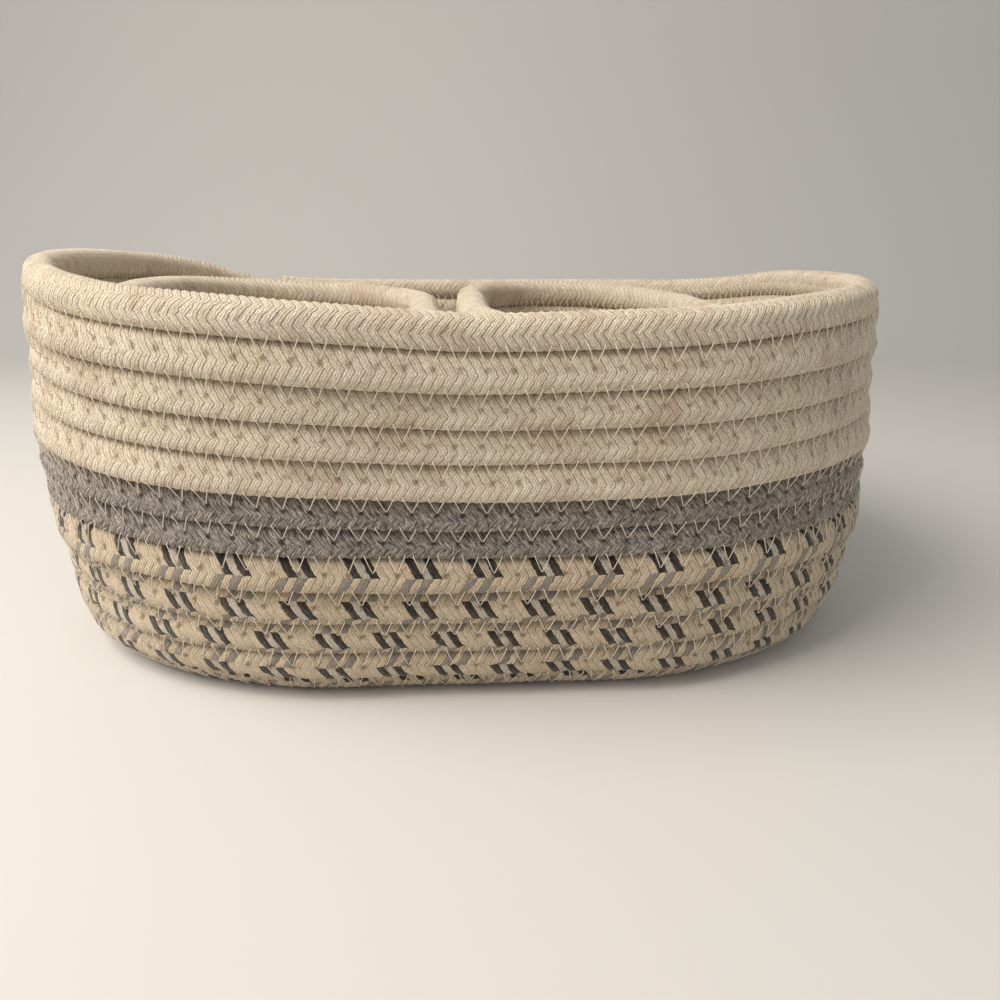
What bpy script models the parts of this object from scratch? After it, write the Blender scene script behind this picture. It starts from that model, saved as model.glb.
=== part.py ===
"""A set of coiled rope baskets: a large oval one, with two small ones standing side by side inside it.

Each basket is a flat base and a wall of rope, wound turn on turn and sewn to the turn below. Lengths are in
metres, +Z is up, +X is to the right and +Y is to the back. The origin is under the middle of the large
basket, on the surface that it stands on.
"""

import math

import bpy
from mathutils import Vector
from mathutils.bvhtree import BVHTree

# Ropes, by the height that one turn has in the wall.
PATTERNED_ROPE = 0.0108
GREY_ROPE = 0.0090
CREAM_ROPE = 0.0101
CREAM_TOP_ROPE = 0.0109
RIM_ROPE = 0.0121
SMALL_ROPE = 0.0104
SMALL_RIM_ROPE = 0.0121

# Turns of each rope, counted from the turn round the base.
PATTERNED_TURNS = 5
GREY_TURNS = 2
CREAM_TURNS = 3
SMALL_TURNS = 10

# Gaps between pieces, and between the turns of one rope.
SEAM_GAP = 0.0007
TOUCH_GAP = 0.0003
START_GAP = 0.0012

# Large basket, along the middle of its wall rope.
LARGE_LENGTH = 0.312
LARGE_WIDTH = 0.232
LARGE_CORNER_RADIUS = 0.092

# How much higher the large rim stands at its ends and corners than in the middle of its front and back.
LEFT_LIFT = 0.0115
RIGHT_LIFT = 0.012
FRONT_LEFT_LIFT = 0.007
FRONT_RIGHT_LIFT = 0.0115
BACK_LEFT_LIFT = 0.0045
BACK_RIGHT_LIFT = 0.0045

# How each wall turns up from its base, and leans outwards as far as a height.
FOOT_BEND = 0.0084
LEAN_HEIGHT = 0.055
LEAN_ANGLE = math.radians(9)

# Room that the small baskets leave inside the large one.
LEFT_ROOM = 0.008
RIGHT_ROOM = 0.030
FRONT_ROOM = 0.0285
PAIR_GAP = 0.008
WALL_CLEARANCE = 0.0008
SMALL_CORNER_SHARE = 0.96

# A turn is level but for its climb to the next, which takes one step of its points each side of one angle.
LARGE_POINTS = 24
SMALL_POINTS = 20
LARGE_CLIMB_AT = math.radians(90)
LEFT_CLIMB_AT = 0
RIGHT_CLIMB_AT = math.radians(180)
RIM_TAPER_SHARES = (0.25, 0.5, 0.7)
CLIMB_SHARE = 0.97

# A tube of six sides: its corners stand out further than its flats, which face the turns above and below.
SIDES = 6
FLAT_SHARE = math.cos(math.pi / SIDES)
PROFILE_STEPS = 24

# Colours, as linear values, and how rough each rope is.
CREAM = (0.66, 0.56, 0.42)
GREY = (0.19, 0.18, 0.17)
PATTERNED = (0.42, 0.36, 0.28)
ROPE_ROUGHNESS = 0.92


def clamp(value):
    return max(-1, min(1, value))


def mixed(one, other, share):
    """A share of the way from one point of a tube to another, in place, radius and tilt."""
    return tuple(a * (1 - share) + b * share for a, b in zip(one, other))


class Wall:
    """The wall of one basket: the rounded oblong that its rope follows, and the place of every turn."""

    def __init__(self, half_x, half_y, corner, middle, floor, turns, points, climb_at, lifts=(0,)):
        self.corner = corner
        self.side_x = half_x - corner
        self.side_y = half_y - corner
        self.middle = middle
        self.floor = floor
        self.turns = turns
        self.points = points
        self.step = 2 * math.pi / points
        self.climb_at = climb_at
        self.lifts = lifts
        self.runs = [0]
        for below, above in zip(turns, turns[1:]):
            self.runs.append(self.runs[-1] + (below + above) / 2 + SEAM_GAP)
        self.reach = self.profile(self.runs[-1])[0]
        self.rise = self.profile(self.runs[-1])[1]
        self.base_height = turns[0]
        self.first_height = floor + TOUCH_GAP + turns[0] / 2

    def heading(self, run):
        """The way that the wall goes, from 0 where it is flat to a right angle where it is upright."""
        turned = 1 - math.exp(-run / FOOT_BEND)
        return turned * (math.pi / 2 - LEAN_ANGLE * max(0, 1 - run / LEAN_HEIGHT))

    def profile(self, run):
        """How far out and up the wall is, after a run along it from the turn round the base."""
        out = up = 0
        for index in range(PROFILE_STEPS):
            way = self.heading(run * (index + 0.5) / PROFILE_STEPS)
            out += math.cos(way) * run / PROFILE_STEPS
            up += math.sin(way) * run / PROFILE_STEPS
        return out, up

    def outline(self, angle, inset):
        """A point of the rounded oblong, drawn in by an inset, where its outward direction is an angle."""
        radius = self.corner - inset
        limit = math.sin(self.step)
        x = self.side_x * clamp(math.cos(angle) / limit) + radius * math.cos(angle)
        y = self.side_y * clamp(math.sin(angle) / limit) + radius * math.sin(angle)
        return Vector((x, y, 0))

    def lift(self, angle):
        """How much higher the rim stands at an angle, between lifts given at equal angles round."""
        place = angle / (2 * math.pi) * len(self.lifts)
        low = math.floor(place)
        share = place - low
        before = self.lifts[low % len(self.lifts)]
        after = self.lifts[(low + 1) % len(self.lifts)]
        return before * (1 - share) + after * share

    def between(self, values, row):
        """The value of a row, or the mean of two rows' values half way up a climb."""
        return (values[int(row)] + values[math.ceil(row)]) / 2

    def centre(self, row, angle):
        """The middle of the rope in a row of the wall, or half way up the straight climb between two."""
        turn = int(row)
        if row > turn:
            before = self.centre(turn, self.climb_at - self.step)
            return (before + self.centre(turn + 1, self.climb_at + self.step)) / 2
        out, up = self.profile(self.runs[turn])
        point = self.outline(angle, self.reach - out)
        point.z = self.first_height + up * (1 + self.lift(angle) / self.rise)
        return point + self.middle

    def tilt(self, row):
        """How far the rope's flats are turned out of the level, so that they face the turns beside them."""
        return min(row, 1) * (math.pi / 2 - self.heading(self.between(self.runs, max(row, 1))))

    def support(self, row, way):
        """How far the tube of a row reaches in a direction of the profile, as a share of its radius."""
        apart = (way - math.pi / 2 + self.tilt(row)) % (2 * math.pi / SIDES)
        return math.cos(math.pi / SIDES - min(apart, 2 * math.pi / SIDES - apart))

    def radius(self, row, angle):
        """The corner radius of the tube in a row, as large as the turns above and below leave room for."""
        fits = []
        for low in (row - 1, row):
            if 0 <= low <= len(self.turns) - 2:
                step = self.centre(low + 1, angle) - self.centre(low, angle)
                way = math.atan2(step.z, math.hypot(step.x, step.y))
                needed = self.between(self.turns, low) * self.support(low, way)
                needed += self.between(self.turns, low + 1) * self.support(low + 1, way)
                fits.append((step.length - SEAM_GAP) / needed)
        return self.between(self.turns, row) * min(fits)

    def tube_point(self, row, angle):
        """Where the middle of the rope is, the radius of its tube and the tube's tilt."""
        return self.centre(row, angle), self.radius(row, angle), self.tilt(row)

    def turn_points(self, turn):
        """The level points of one turn, from the end of one climb to the start of the next."""
        angles = [self.climb_at + self.step * (1 + index) for index in range(self.points - 1)]
        return [self.tube_point(turn, angle) for angle in angles]

    def climb_point(self, turn):
        """The middle of the straight climb that follows a turn, where the rope is drawn a little thinner."""
        place, radius, tilt = self.tube_point(turn + 0.5, self.climb_at)
        return place, radius * CLIMB_SHARE, tilt

    def start_points(self, turn):
        """The first turn's points: it starts just past the end of the base, and runs straight from there."""
        points = self.turn_points(turn)
        first, radius, tilt = points[0]
        ahead = (points[1][0] - first).normalized()
        return [(first + ahead * START_GAP, radius, tilt)] + points[1:]

    def taper_points(self, turn):
        """The end of the rim: it thins out over the climb under it, with its top in one line."""
        under = [self.turn_points(turn - 1)[-1], self.climb_point(turn - 1), self.turn_points(turn)[0]]
        rim = self.turn_points(turn)
        points = []
        for share in RIM_TAPER_SHARES:
            half, rest = divmod(2 * share, 1)
            below, below_radius, _ = mixed(under[int(half)], under[int(half) + 1], rest)
            place, radius, tilt = mixed(rim[-1], rim[0], share)
            top = place.z + radius * FLAT_SHARE
            height = top - below.z - below_radius * FLAT_SHARE - SEAM_GAP
            place.z = top - height / 2
            points.append((place, height / 2 / FLAT_SHARE, tilt))
        return points

    def rope_points(self, first, last, starts, ends):
        """The points of one rope. starts: it is the basket's lowest rope. ends: it is the top one."""
        climbed = [self.climb_point(first - 1)] if first else []
        points = self.start_points(first) if starts else climbed + self.turn_points(first)
        for turn in range(first + 1, last + 1):
            points += [self.climb_point(turn - 1)] + self.turn_points(turn)
        points += self.taper_points(last) if ends else [self.climb_point(last)]
        if not starts:
            points[0] = self.drawn_back(points[0], points[1])
        if not ends:
            points[-1] = self.drawn_back(points[-1], points[-2])
        return points

    def drawn_back(self, end, beside):
        """An end point, moved half a gap back along its rope, clear of the rope that it meets."""
        back = (beside[0] - end[0]).normalized()
        return end[0] + back * TOUCH_GAP / 2, end[1], end[2]

    def base_outline(self):
        """The edge of the base, inside the lowest turn. It steps out to where that turn starts."""
        rows = [0] * (self.points - 1) + [0.5, 1]
        rings = self.turn_points(0) + [self.climb_point(0), self.turn_points(1)[0]]
        corners = []
        for index, (row, (place, radius, _)) in enumerate(zip(rows, rings)):
            angle = self.climb_at + self.step * (1 + index)
            edge = radius * self.support(row, math.pi) + TOUCH_GAP
            corners.append(place - edge * Vector((math.cos(angle), math.sin(angle), 0)))
        return corners


def material(name, colour):
    made = bpy.data.materials.new(name)
    made.use_nodes = True
    shader = made.node_tree.nodes["Principled BSDF"]
    shader.inputs["Base Color"].default_value = (*colour, 1)
    shader.inputs["Roughness"].default_value = ROPE_ROUGHNESS
    made.diffuse_color = (*colour, 1)
    return made


def placed(name, data, collection, finish, parent=None):
    piece = bpy.data.objects.new(name, data)
    collection.objects.link(piece)
    data.materials.append(finish)
    if parent:
        piece.parent = parent
        piece.matrix_parent_inverse = parent.matrix_world.inverted()
    return piece


def rope(name, points, collection, finish, parent=None):
    """A rope as one unbroken tube, with a flat cap at each end."""
    curve = bpy.data.curves.new(name, "CURVE")
    curve.dimensions = "3D"
    curve.twist_mode = "Z_UP"
    curve.bevel_depth = 1
    curve.bevel_resolution = 1
    curve.use_fill_caps = True
    spline = curve.splines.new("POLY")
    spline.points.add(len(points) - 1)
    for point, (place, radius, tilt) in zip(spline.points, points):
        point.co = (*place, 1)
        point.radius = radius
        point.tilt = tilt
    return placed(name, curve, collection, finish, parent)


def base(name, wall, collection, finish, parent=None):
    """The flat base: a plain plate as thick as its rope, with the coil's outline."""
    curve = bpy.data.curves.new(name, "CURVE")
    curve.dimensions = "2D"
    curve.fill_mode = "BOTH"
    curve.extrude = wall.base_height / 2
    spline = curve.splines.new("POLY")
    corners = wall.base_outline()
    spline.points.add(len(corners) - 1)
    for point, corner in zip(spline.points, corners):
        point.co = (corner.x, corner.y, 0, 1)
    spline.use_cyclic_u = True
    piece = placed(name, curve, collection, finish)
    piece.location.z = wall.floor + wall.base_height / 2
    if parent:
        bpy.context.view_layer.update()
        piece.parent = parent
        piece.matrix_parent_inverse = parent.matrix_world.inverted()
    return piece


def lift_axis(name, wall, collection):
    """An empty on the line along which a small basket lifts out, which carries its pieces."""
    axis = bpy.data.objects.new(name, None)
    axis.location = wall.middle + Vector((0, 0, wall.floor))
    collection.objects.link(axis)
    bpy.context.view_layer.update()
    return axis


def least_gap(piece, points_per_turn):
    """The least distance between a rope's surface and its own other turns, and how many points tell it."""
    graph = bpy.context.evaluated_depsgraph_get()
    mesh = piece.evaluated_get(graph).to_mesh()
    rings = len(piece.data.splines[0].points)
    caps = len(mesh.vertices) - rings * SIDES
    places = [vertex.co.copy() for vertex in mesh.vertices][caps:]
    faces = [[corner - caps for corner in face.vertices] for face in mesh.polygons]
    faces = [face for face in faces if min(face) >= 0]
    quarter = points_per_turn // 4
    least = math.inf
    count = 0
    for first in range(0, rings, quarter):
        apart = [face for face in faces if not first - quarter <= min(face) // SIDES < first + 2 * quarter]
        if apart:
            tree = BVHTree.FromPolygons(places, apart)
            for index in range(first * SIDES, min(first + quarter, rings - 1) * SIDES):
                for point in (places[index], (places[index] + places[index + SIDES]) / 2):
                    least = min(least, tree.find_nearest(point)[3])
                    count += 1
    piece.evaluated_get(graph).to_mesh_clear()
    return least, count


def large_wall():
    turns = [PATTERNED_ROPE] * PATTERNED_TURNS + [GREY_ROPE] * GREY_TURNS
    turns += [CREAM_ROPE] * CREAM_TURNS + [CREAM_TOP_ROPE, RIM_ROPE]
    wall = Wall(
        LARGE_LENGTH / 2,
        LARGE_WIDTH / 2,
        LARGE_CORNER_RADIUS,
        Vector((0, 0, 0)),
        0,
        turns,
        LARGE_POINTS,
        LARGE_CLIMB_AT,
        (RIGHT_LIFT, BACK_RIGHT_LIFT, 0, BACK_LEFT_LIFT, LEFT_LIFT, FRONT_LEFT_LIFT, 0, FRONT_RIGHT_LIFT),
    )
    # The straight climbs make the back flatter than the front. This brings its box back over the origin.
    widths = [place.y for place, _, _ in wall.turn_points(len(turns) - 1)]
    wall.middle.y = -(min(widths) + max(widths)) / 2
    return wall


def small_walls(large):
    """The two small baskets, sized and placed by the room inside the large one."""
    rim = len(large.turns) - 1
    inner_left = large.centre(rim, math.pi).x + large.radius(rim, math.pi)
    inner_right = large.centre(rim, 0).x - large.radius(rim, 0)
    beside = large.climb_at - large.step
    inner_back = large.centre(rim, beside).y - large.radius(rim, beside)
    inner_front = large.centre(rim, -large.climb_at).y + large.radius(rim, -large.climb_at)
    rim_reach = SMALL_RIM_ROPE / 2 / FLAT_SHARE
    width = (inner_right - RIGHT_ROOM - inner_left - LEFT_ROOM - PAIR_GAP) / 2
    half_x = width / 2 - rim_reach
    half_y = (inner_back - inner_front - WALL_CLEARANCE - FRONT_ROOM) / 2 - rim_reach
    corner = half_x * SMALL_CORNER_SHARE
    left_x = inner_left + LEFT_ROOM + width / 2
    right_x = inner_right - RIGHT_ROOM - width / 2
    right_y = inner_back - WALL_CLEARANCE - half_y - rim_reach
    # The left basket stands where its rounded corner just clears the large one's.
    corner_room = LARGE_CORNER_RADIUS - large.radius(rim, math.pi) - corner - rim_reach - WALL_CLEARANCE
    across = left_x - (half_x - corner) + large.side_x
    along = math.sqrt(max(0, corner_room**2 - across**2))
    left_y = large.middle.y + large.side_y + along - (half_y - corner)
    turns = [SMALL_ROPE] * SMALL_TURNS + [SMALL_RIM_ROPE]
    floor = large.base_height + TOUCH_GAP
    places = ((left_x, left_y, LEFT_CLIMB_AT), (right_x, right_y, RIGHT_CLIMB_AT))
    return [
        Wall(half_x, half_y, corner, Vector((x, y, 0)), floor, turns, SMALL_POINTS, climb_at)
        for x, y, climb_at in places
    ]


def large_basket(wall, collection, cream):
    patterned = material("patterned_cotton_rope", PATTERNED)
    grey = material("grey_cotton_rope", GREY)
    cream_start = PATTERNED_TURNS + GREY_TURNS
    low = wall.rope_points(0, PATTERNED_TURNS - 1, True, False)
    middle = wall.rope_points(PATTERNED_TURNS, cream_start - 1, False, False)
    top = wall.rope_points(cream_start, len(wall.turns) - 1, False, True)
    base("large_base", wall, collection, patterned)
    return [
        rope("large_patterned_rope", low, collection, patterned),
        rope("large_grey_rope", middle, collection, grey),
        rope("large_cream_rope", top, collection, cream),
    ]


def small_basket(side, wall, collection, cream):
    axis = lift_axis(f"small_{side}_lift", wall, collection)
    base(f"small_{side}_base", wall, collection, cream, axis)
    points = wall.rope_points(0, len(wall.turns) - 1, True, True)
    return rope(f"small_{side}_rope", points, collection, cream, axis)


for old in list(bpy.data.objects):
    bpy.data.objects.remove(old)

baskets = bpy.data.collections.new("knitting_basket")
bpy.context.scene.collection.children.link(baskets)
cream_rope = material("cream_cotton_rope", CREAM)
large = large_wall()
wound = [(piece, LARGE_POINTS) for piece in large_basket(large, baskets, cream_rope)]
for side, small in zip(("left", "right"), small_walls(large)):
    wound.append((small_basket(side, small, baskets, cream_rope), SMALL_POINTS))
bpy.context.view_layer.update()
for piece, points_per_turn in wound:
    gap, count = least_gap(piece, points_per_turn)
    print(f"{piece.name}: least gap to itself {gap * 1000:.2f} mm, at {count} points")
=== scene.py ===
"""A knitting basket: a large oval basket of coiled cotton rope, with two small ones standing inside it."""

import math

import bmesh
import bpy
import numpy as np
from mathutils import Matrix, Vector


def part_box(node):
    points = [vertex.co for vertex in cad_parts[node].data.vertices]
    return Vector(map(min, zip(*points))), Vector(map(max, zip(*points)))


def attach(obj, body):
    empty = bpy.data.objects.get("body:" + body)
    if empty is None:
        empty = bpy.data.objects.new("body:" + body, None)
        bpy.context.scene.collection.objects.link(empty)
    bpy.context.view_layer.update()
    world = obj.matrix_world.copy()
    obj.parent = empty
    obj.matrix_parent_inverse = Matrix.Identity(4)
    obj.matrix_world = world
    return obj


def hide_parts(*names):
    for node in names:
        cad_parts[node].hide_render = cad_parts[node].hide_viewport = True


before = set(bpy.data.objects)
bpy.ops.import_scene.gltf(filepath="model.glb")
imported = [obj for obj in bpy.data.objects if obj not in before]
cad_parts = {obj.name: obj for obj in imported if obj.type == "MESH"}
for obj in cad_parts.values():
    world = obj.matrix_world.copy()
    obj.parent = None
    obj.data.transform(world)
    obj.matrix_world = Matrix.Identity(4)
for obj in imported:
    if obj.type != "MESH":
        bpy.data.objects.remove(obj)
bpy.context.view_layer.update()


# Large basket, base and lower wall: the patterned rope, braided cotton with dyed strands among cream ones.
# It is the first to be laid. It runs from the middle of the base, round and round, and turns up into the
# wall, and each row is sewn to the last.

# The heights of the wall's rows, from the floor to the rim: five patterned, two grey and five cream.
LARGE_ROWS = [0.0104, 0.0106, 0.0106, 0.0111, 0.0120, 0.0092, 0.0093, 0.0112, 0.0102, 0.0102, 0.0114, 0.0098]
PATTERNED_END = 5
GREY_END = 7
# The outline at the rim: half its length and width, and the radius of its back and front corners.
LARGE_HALF_X = 0.1549
LARGE_HALF_Y = 0.1161
LARGE_CORNERS = (0.092, 0.1092)
LARGE_MIDDLE = (0, 0.0016, 0)
# The base lies this far above the floor, so that the rope's sway and swelling stay above it.
LARGE_FLOOR = 0.0006
# How far the wall leans out of upright, in degrees, after each run up it.
LEAN_RUNS = (0, 0.006, 0.014, 0.024, 0.038, 0.055, 0.080, 0.125)
BACK_LEANS = (90, 48, 22, 10, 4, 0, 0, 0)
LEFT_LEANS = (80, 42, 8, 2, 12, 6, -9, -6)
FRONT_LEANS = (70, 26, 10, 8, 9, 10, 8, 6)
RIGHT_LEANS = (81, 46, 19, 11, 7, -3, -9, -6)
# How much the rim is raised, in millimetres, every 15 degrees from the back round by the left end.
RIM_LIFTS = (2.4, 2.0, 4.6, 10.6, 13.2, 14.3, 16.0, 15.2, 12.2, 9.2, 6.8, 5.4, 0.7, 3.6, 6.8, 8.6, 10.4, 12.0)
RIM_LIFTS += (12.2, 11.2, 7.7, 5.0, 4.1, 3.5)
# Each row climbs to the next at the back left, where the end of the rope lies on the rim: how far that is
# past the middle of the back, and how long half a climb is.
LARGE_CLIMB_PAST = 0.080
LARGE_CLIMB_REACH = 0.088

# The gap from row to row, which the thread and the pressed ropes close.
SEAM = 0.0007
# A rope in the wall is deeper than it is high, and one that thins out is this much deeper at most.
DEPTH_SHARE = 1.13
DEPTH_LIMIT = 1.3
# The rope goes on past its last whole turn, for this share of a climb.
RIM_END_SHARE = 0.2
# How the route is worked out: its steps, the run over which the base draws in evenly, how the lifts are
# smoothed, and a step so small that it only gives a still point its direction.
PROFILE_STEP = 0.00025
PROFILE_SPARE = 0.02
TRACE_STEP = 0.0008
EVEN_BASE = 0.04
LIFT_STEPS = 720
LIFT_BLUR = 0.012
STILL = 1e-8


class Coil:
    """The route of one basket's rope. A place on it is a count of turns, which is whole where a row climbs.

    Rows below zero lie in the flat base, and the wall starts at row 0. climb_share says where the climbs are,
    as a share of the outline from the middle of the back round by the left. leans are the wall's at the back,
    left, front and right.
    """

    def __init__(
        self, rows, half_x, half_y, corners, middle, floor, climb_share, climb_reach, leans, lifts,
        climb_past=0.0, heading=0.0
    ):
        self.half_x, self.half_y = half_x, half_y
        self.middle = np.array(middle)
        self.heading = np.radians(heading)
        # The wall's profile on each of its four sides: how far out and up it is after a run along it.
        centres = np.concatenate(([0], np.cumsum((np.array(rows[:-1]) + rows[1:]) / 2 + SEAM)))
        self.run = np.arange(0, centres[-1] + PROFILE_SPARE, PROFILE_STEP)
        self.outs, self.ups = [], []
        for lean in leans:
            way = np.radians(90 - np.interp(self.run, LEAN_RUNS, lean))
            self.outs.append(np.concatenate(([0], np.cumsum(np.cos(way))[:-1])) * PROFILE_STEP)
            self.ups.append(np.concatenate(([0], np.cumsum(np.sin(way))[:-1])) * PROFILE_STEP)
        self.reaches = [np.interp(centres[-1], self.run, out) for out in self.outs]
        self.rises = [np.interp(centres[-1], self.run, up) for up in self.ups]
        self.first_height = floor + rows[0] / 2
        # The base's rows, as many as fit between the wall and the coil's first straight stretch.
        across = half_x - (self.reaches[1] + self.reaches[3]) / 2
        inner = min(across, half_y - (self.reaches[0] + self.reaches[2]) / 2) - (rows[0] + SEAM) / 2
        self.base_rows = round(inner / (rows[0] + SEAM))
        self.base_pitch = inner / self.base_rows
        in_base = -(rows[0] + SEAM) / 2 - self.base_pitch * (np.arange(self.base_rows, 0, -1) - 0.5)
        self.rows = np.arange(-self.base_rows, len(rows))
        self.centres = np.concatenate((in_base, centres))
        heights = np.concatenate((np.full(self.base_rows, self.base_pitch), np.array(rows) + SEAM))
        self.lower = self.centres - heights / 2
        self.upper = self.centres + heights / 2
        self.last = len(rows) - 1
        self.thickness = rows[0]
        self.row_heights = np.concatenate((np.full(self.base_rows, rows[0]), np.array(rows)))
        # The outline, as four straight sides and four round corners, by the share of it passed.
        back, front = corners
        arcs = back * math.pi / 2, front * math.pi / 2
        side = 2 * half_y - back - front
        half_back, whole_front = half_x - back, 2 * (half_x - front)
        runs = (half_back, arcs[0], side, arcs[1], whole_front, arcs[1], side, arcs[0], half_back)
        self.around = sum(runs)
        self.knots = np.concatenate(([0], np.cumsum(runs))) / self.around
        self.side_x = np.array((0, -1, -1, -1, -1, 1, 1, 1, 1, 0))
        self.side_y = np.array((1, 1, 1, -1, -1, -1, -1, 1, 1, 1))
        self.corner = np.array((back, back, back, front, front, front, front, back, back, back))
        self.way = np.radians((90, 90, 180, 180, 270, 270, 360, 360, 450, 450))
        self.start = climb_share + climb_past / self.around
        self.climb = climb_reach / self.around
        self.end = self.last + 1 + self.climb * RIM_END_SHARE
        # How much higher the rim stands round the outline, from lifts at equal angles, smoothed. A straight
        # side faces one way, so it is given a degree to either side.
        angles = 90 + np.arange(len(lifts) + 1) * 360 / len(lifts)
        turning = np.array((90, 91, 179, 181, 269, 271, 359, 361, 449, 450))
        shares = np.interp(angles, turning, self.knots)
        steps = np.arange(LIFT_STEPS)
        raw = np.interp(steps / LIFT_STEPS, shares, list(lifts) + [lifts[0]])
        away = np.minimum(steps, LIFT_STEPS - steps) / LIFT_STEPS * self.around
        window = np.exp(-((away / LIFT_BLUR) ** 2) / 2)
        self.lift = np.fft.irfft(np.fft.rfft(raw) * np.fft.rfft(window / window.sum()), LIFT_STEPS)
        self.trace()

    def row(self, turns):
        """The row at a count of turns: whole numbers, but for the climbs between them."""
        turn = np.floor(turns)
        share = turns - turn
        before = 0.5 * (1 - np.sin(np.clip((1 - share) / self.climb, 0, 1) * math.pi / 2))
        after = 0.5 * (1 - np.sin(np.clip(share / self.climb, 0, 1) * math.pi / 2))
        return np.clip(turn + before - after, self.rows[0], self.last)

    def point(self, turns, run):
        """The place on the wall's surface at a count of turns, after a run up its profile."""
        share = np.mod(turns + self.start, 1)
        way = np.interp(share, self.knots, self.way)
        flat = np.minimum(run, 0)
        insets = [reach - np.interp(run, self.run, out) - flat for reach, out in zip(self.reaches, self.outs)]
        side_x = np.interp(share, self.knots, self.side_x)
        side_y = np.interp(share, self.knots, self.side_y)
        # An end's share of the profile, and the back's or the front's.
        end = np.cos(way) ** 2
        behind, left = np.sin(way) > 0, side_x < 0
        parts = ((1 - end) * behind, end * left, (1 - end) * ~behind, end * ~left)
        beside_x = np.where(left, insets[1], insets[3])
        beside_y = np.where(behind, insets[0], insets[2])
        corner = np.interp(share, self.knots, self.corner)
        # The wall keeps its straight sides, and the base's rows draw in evenly to the first straight one.
        radius = np.maximum(corner - sum(a * b for a, b in zip(parts, insets)), self.base_pitch / 2)
        even = np.clip(-run / EVEN_BASE, 0, 1)
        reach_x = (self.half_x - corner) * (1 - even) + (self.half_x - beside_x - radius) * even
        reach_y = (self.half_y - corner) * (1 - even) + (self.half_y - beside_y - radius) * even
        x = side_x * reach_x + radius * np.cos(way)
        y = side_y * reach_y + radius * np.sin(way)
        # The lift grows with the height, from none at the base to its full amount at the rim.
        lift = np.interp(share, np.arange(LIFT_STEPS) / LIFT_STEPS, self.lift, period=1)
        rise = sum(a * b for a, b in zip(parts, self.rises))
        up = sum(a * np.interp(run, self.run, b) for a, b in zip(parts, self.ups))
        z = self.first_height + up * (1 + lift / rise)
        cos, sin = np.cos(self.heading), np.sin(self.heading)
        return np.stack((x * cos - y * sin, x * sin + y * cos, z), -1) + self.middle

    def place(self, turns):
        """The rope's middle, the directions out of the wall and up it, and half its depth and height."""
        row = self.row(turns)
        centre = self.point(turns, np.interp(row, self.rows, self.centres))
        low = self.point(turns, np.interp(row, self.rows, self.lower))
        high = self.point(turns, np.interp(row, self.rows, self.upper))
        up = high - low
        height = np.linalg.norm(up, axis=-1)
        up /= height[:, None]
        # The end of the rim thins out over the row that climbs under it, with its top in one line.
        end = turns > self.last + 1 - self.climb
        if end.any():
            under = self.place(turns[end] - 1)
            room = centre[end] + up[end] * height[end, None] / 2 - under[0] - under[2] * under[4][:, None]
            height[end] = np.maximum((room * up[end]).sum(-1), SEAM)
            centre[end] += up[end] * ((self.upper - self.lower)[-1] - height[end, None]) / 2
        # The outline's own heading takes over where the rope's middle stands still, in the innermost turn.
        way = np.interp(np.mod(turns + self.start, 1), self.knots, self.way) + self.heading
        heading = np.stack((-np.sin(way), np.cos(way), np.zeros(len(way))), -1)
        ahead = np.gradient(centre, axis=0) + heading * STILL
        ahead /= np.linalg.norm(ahead, axis=-1)[:, None]
        out = np.cross(ahead, up)
        out /= np.linalg.norm(out, axis=-1)[:, None]
        share = 1 + (DEPTH_SHARE - 1) * np.clip(row, 0, 1)
        depth = np.minimum(np.interp(row, self.rows, self.row_heights), height * DEPTH_LIMIT) * share / 2
        return centre, out, up, depth, height / 2

    def trace(self):
        """Samples the whole rope closely, so that pieces can be laid along it by their length."""
        count = int((len(self.rows) + 1) * self.around / TRACE_STEP)
        self.turns = np.linspace(self.rows[0], self.end, count)
        self.sampled = self.place(self.turns)
        steps = np.linalg.norm(np.diff(self.sampled[0], axis=0), axis=1)
        self.length = np.concatenate(([0], np.cumsum(steps)))

    def length_at(self, turns):
        """The length of rope from its start to a count of turns."""
        return np.interp(turns, self.turns, self.length)

    def along(self, length):
        """The rope's middle, directions, half depth and half height, at lengths along it."""
        found = []
        for values in self.sampled:
            columns = values.reshape(len(values), -1)
            found.append(np.stack([np.interp(length, self.length, column) for column in columns.T], -1))
        return found[0], found[1], found[2], found[3][..., 0], found[4][..., 0]


large_leans = (BACK_LEANS, LEFT_LEANS, FRONT_LEANS, RIGHT_LEANS)
large = Coil(
    LARGE_ROWS, LARGE_HALF_X, LARGE_HALF_Y, LARGE_CORNERS, LARGE_MIDDLE, LARGE_FLOOR, 0, LARGE_CLIMB_REACH,
    large_leans, [lift / 1000 for lift in RIM_LIFTS], climb_past=LARGE_CLIMB_PAST
)

# The braid. Six columns of slanting strands go round a soft core, and lean by turns to the left and to the
# right. Seven strands make the pattern's repeat of 19.7 mm, and each rises above the lines between them.
COLUMNS = 6
ACROSS_COLUMN = 3
STRAND_PITCH = 0.0197 / 7
RINGS_PER_STRAND = 2
STRAND_LEAN = 1.4
STRAND_RELIEF = 0.00038
COLUMN_RELIEF = 0.00032
# The rope's section is a rounded square: its sides, the rim's top, and its outer face above and below.
ROPE_SQUARENESS = 2.5
RIM_SQUARENESS = 2.1
OUTER_SQUARENESS = 3.2
LOWER_SQUARENESS = 3.8
# How far a row overhangs the one beneath, and how far the sewing presses it into the next.
OVERHANG = 0.0011
PRESSED = 0.0003
PRESSED_POWER = 4
# The stitches, and the pits where the thread pulls the rope in, at their low and high tips.
STITCH_PITCH = 0.0076
PIT_DEPTH = 0.0009
PIT_WIDTH = 0.0014
LOW_TIP = math.radians(22)
HIGH_TIP = math.radians(-31)
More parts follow.
